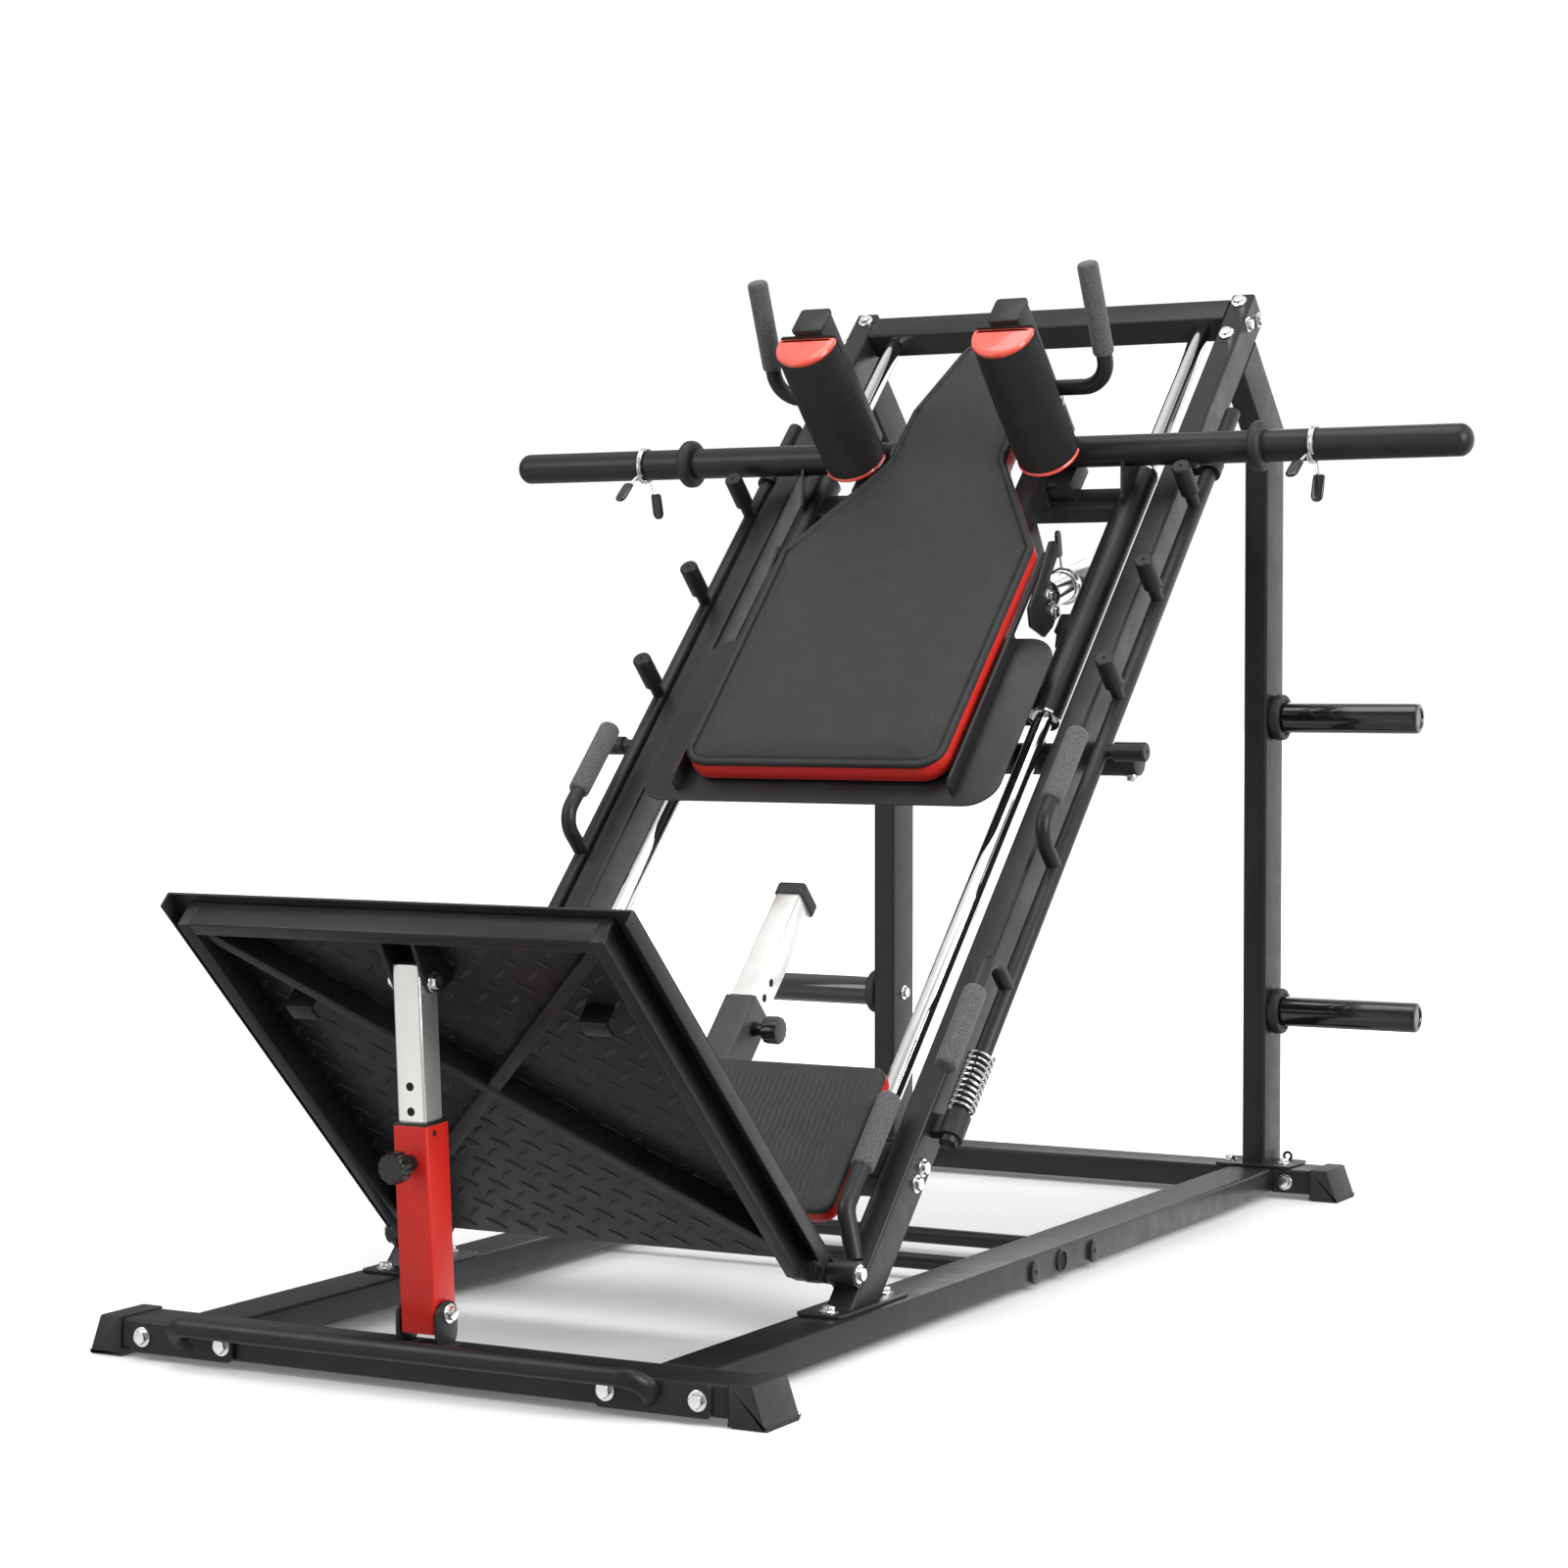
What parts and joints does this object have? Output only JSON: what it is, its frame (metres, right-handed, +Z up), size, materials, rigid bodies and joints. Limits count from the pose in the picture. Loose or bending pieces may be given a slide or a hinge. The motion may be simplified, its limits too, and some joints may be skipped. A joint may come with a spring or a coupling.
{
  "type": "hack squat machine",
  "caption": "Plate-loaded hack squat machine with a sliding padded carriage on 45 degree rails, tilting footplate, turning safety rods and adjustable stop.",
  "frame": {"origin": "middle of the footprint on the floor", "axes": "+Z up; -Y towards the footplate end, +Y towards the uprights; +X to the right seen from the footplate end"},
  "size_m": [1.684, 2.1098, 1.5088],
  "materials": {
    "frame_black": "satin powder coat, fine orange peel",
    "gloss_black": "gloss black enamel",
    "chrome": "polished chrome plate",
    "satin_steel": "satin nickel plate",
    "bright_zinc": "bright zinc plate",
    "red_paint": "semi-gloss red powder coat",
    "tread_plate": "black powder coat over diamond tread",
    "pad_vinyl": "fine grained vinyl, charcoal top with red side band",
    "roll_fabric": "twill weave cover with coral end caps",
    "grip_foam": "speckled foam",
    "rubber_black": "matt moulded rubber",
    "knob_plastic": "fluted moulded plastic"
  },
  "bodies": {
    "frame": {"front_crossbar": "frame_black", "rear_crossbar": "frame_black", "base_rail_left": "frame_black", "base_rail_right": "frame_black", "foot_cap_front_left": "rubber_black", "foot_cap_front_right": "rubber_black", "foot_cap_rear_left": "rubber_black", "foot_cap_rear_right": "rubber_black", "front_step_bar": "frame_black", "cross_tube_front": "frame_black", "cross_tube_rear": "frame_black", "rail_left": "frame_black", "rail_right": "frame_black", "upright_left": "frame_black", "upright_right": "frame_black", "storage_peg_low_left": "gloss_black", "storage_peg_low_right": "gloss_black", "storage_peg_high_left": "gloss_black", "storage_peg_high_right": "gloss_black", "top_beam": "frame_black", "lower_cross_member": "frame_black", "brace_bar": "frame_black", "guide_rod_left": "chrome", "guide_rod_right": "chrome", "seat_pad": "pad_vinyl", "low_handle_left": "frame_black", "low_handle_right": "frame_black", "stop_sleeve": "frame_black"},
    "carriage": {"carriage_frame": "frame_black", "back_plate": "frame_black", "back_pad": "pad_vinyl", "sleeve_bar_left": "frame_black", "sleeve_bar_right": "frame_black", "shoulder_post_left": "frame_black", "shoulder_post_right": "frame_black", "shoulder_roll_left": "roll_fabric", "shoulder_roll_right": "roll_fabric", "shoulder_grip_left": "grip_foam", "shoulder_grip_right": "grip_foam", "carriage_horn": "chrome"},
    "safety_left": {"lock_rod_left": "frame_black", "lock_grip_upper_left": "grip_foam", "lock_grip_lower_left": "grip_foam", "lock_spring_left": "bright_zinc"},
    "safety_right": {"lock_rod_right": "frame_black", "lock_grip_upper_right": "grip_foam", "lock_grip_lower_right": "grip_foam", "lock_spring_right": "bright_zinc"},
    "footplate": {"footplate_sheet": "tread_plate", "footplate_frame": "frame_black"},
    "post_lower": {"post_outer": "red_paint"},
    "post_upper": {"post_inner": "satin_steel"},
    "post_pin": {"post_knob": "knob_plastic"},
    "stop_upper": {"stop_tube": "satin_steel", "stop_cap": "rubber_black"},
    "stop_pin": {"stop_knob": "knob_plastic"},
    "sleeve_clip_left": {"clip_left": "bright_zinc"},
    "sleeve_clip_right": {"clip_right": "bright_zinc"},
    "horn_clip": {"clip_horn": "bright_zinc"}
  },
  "joints": [
    {"name": "carriage_slide", "type": "slide", "parent": "frame", "child": "carriage", "axis": [0, 0.7071, 0.7071], "range_m": [-0.326, 0.345]},
    {"name": "safety_left_turn", "type": "hinge", "parent": "frame", "child": "safety_left", "pos_m": [-0.395, 0.18743, 0.73944], "axis": [0, -0.7071, -0.7071], "range_deg": [0, 75]},
    {"name": "safety_right_turn", "type": "hinge", "parent": "frame", "child": "safety_right", "pos_m": [0.395, 0.18743, 0.73944], "axis": [0, 0.7071, 0.7071], "range_deg": [0, 75]},
    {"name": "footplate_tilt", "type": "hinge", "parent": "frame", "child": "footplate", "pos_m": [0, -0.51119, 0.0988], "axis": [1, 0, 0], "range_deg": [-8, 8]},
    {"name": "post_tilt", "type": "hinge", "parent": "frame", "child": "post_lower", "pos_m": [0, -0.96005, 0.092], "axis": [1, 0, 0], "range_deg": [-8.5, 8.5]},
    {"name": "post_extend", "type": "slide", "parent": "post_lower", "child": "post_upper", "axis": [0, -0.0633, 0.998], "range_m": [-0.063, 0.063]},
    {"name": "post_pin_pull", "type": "slide", "parent": "post_lower", "child": "post_pin", "axis": [0, -0.998, -0.0633], "range_m": [0, 0.012]},
    {"name": "stop_extend", "type": "slide", "parent": "frame", "child": "stop_upper", "axis": [0, 0.7071, 0.7071], "range_m": [-0.0861, 0.0287]},
    {"name": "stop_pin_pull", "type": "slide", "parent": "frame", "child": "stop_pin", "axis": [1, 0, 0], "range_m": [0, 0.012]},
    {"name": "clip_left_slide", "type": "slide", "parent": "carriage", "child": "sleeve_clip_left", "axis": [-1, 0, 0], "range_m": [-0.055, 0.2]},
    {"name": "clip_right_slide", "type": "slide", "parent": "carriage", "child": "sleeve_clip_right", "axis": [1, 0, 0], "range_m": [-0.055, 0.2]},
    {"name": "clip_horn_slide", "type": "slide", "parent": "carriage", "child": "horn_clip", "axis": [0, 0.9769, 0.2135], "range_m": [-0.045, 0.05]}
  ],
  "couplings": [
    {"joint": "post_tilt", "follows": "footplate_tilt", "ratio": 1.052},
    {"joint": "post_extend", "follows": "footplate_tilt", "m_per_rad": -0.4484}
  ]
}
